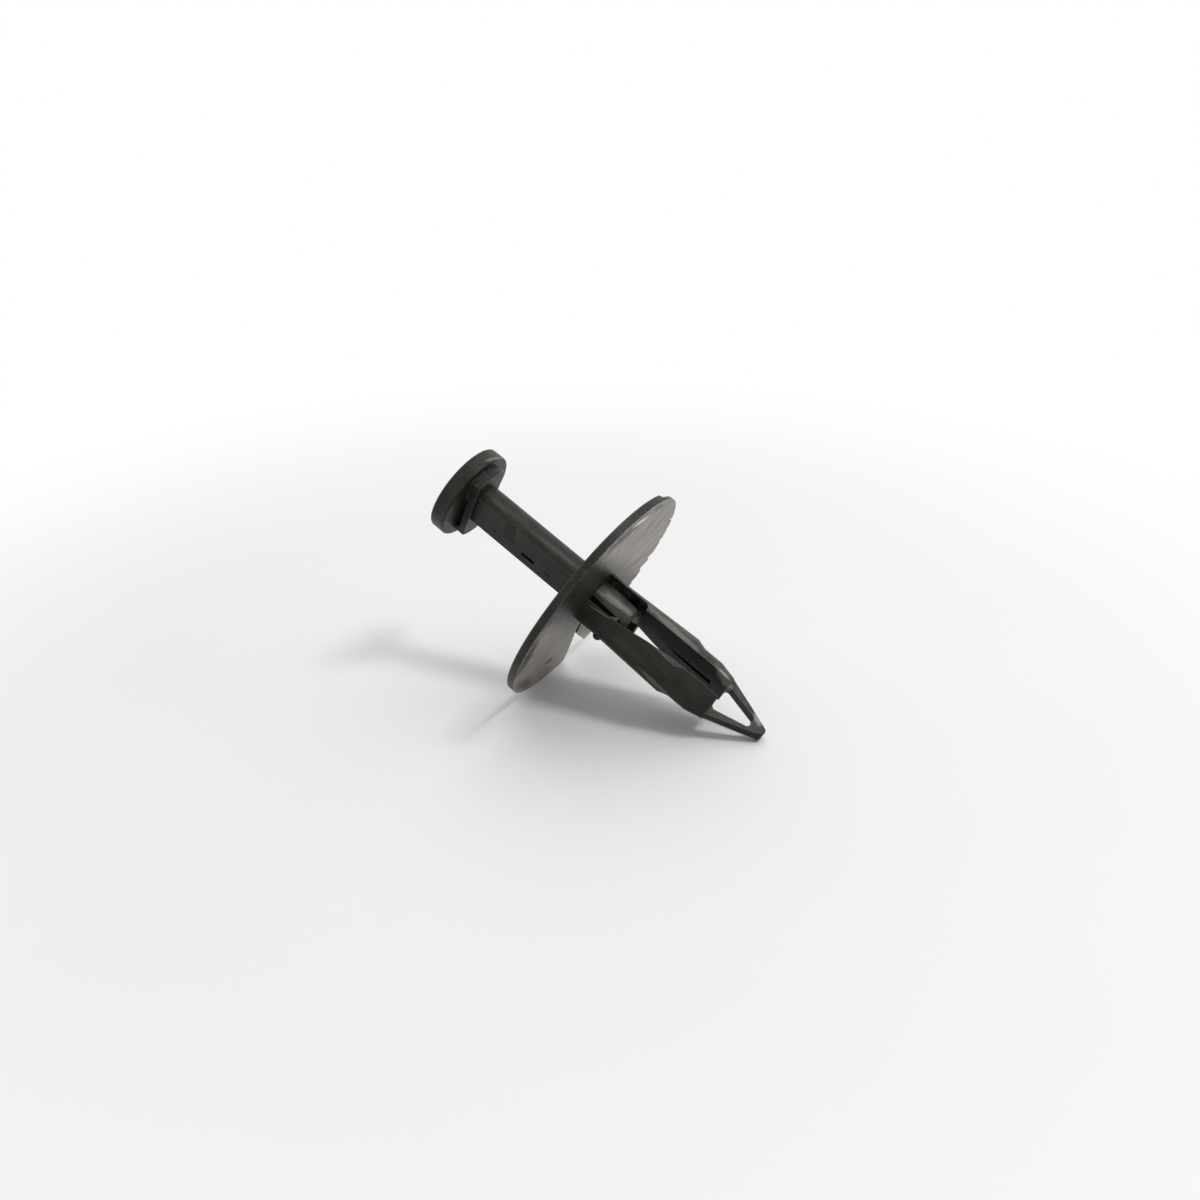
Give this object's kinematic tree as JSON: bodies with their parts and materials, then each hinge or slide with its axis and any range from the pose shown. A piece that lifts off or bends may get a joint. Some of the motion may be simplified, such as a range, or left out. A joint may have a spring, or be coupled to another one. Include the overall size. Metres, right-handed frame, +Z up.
{
  "type": "plastic push rivet",
  "caption": "Plastic push rivet with a wide thin flange, a split shank that spreads, and a flatted push pin drawn out by its head; part of the flange is broken away.",
  "frame": {"origin": "on the rivet's axis, in the face of the flange that seats on the panel", "axes": "+Z up; the rivet lies as it rests, its axis leaning down 29 degrees from the head towards the tip at +X; +Y is level and square to the axis"},
  "size_m": [0.0371, 0.025, 0.0237],
  "materials": {
    "black_nylon": "satin, moulded, worn"
  },
  "bodies": {
    "body": {"flanged_body": "black_nylon"},
    "pin": {"push_pin": "black_nylon"}
  },
  "joints": [
    {"name": "pin_push", "type": "slide", "parent": "body", "child": "pin", "axis": [0.8759, 0, -0.4824], "range_m": [0, 0.0143], "deforming": ["flanged_body"]}
  ]
}
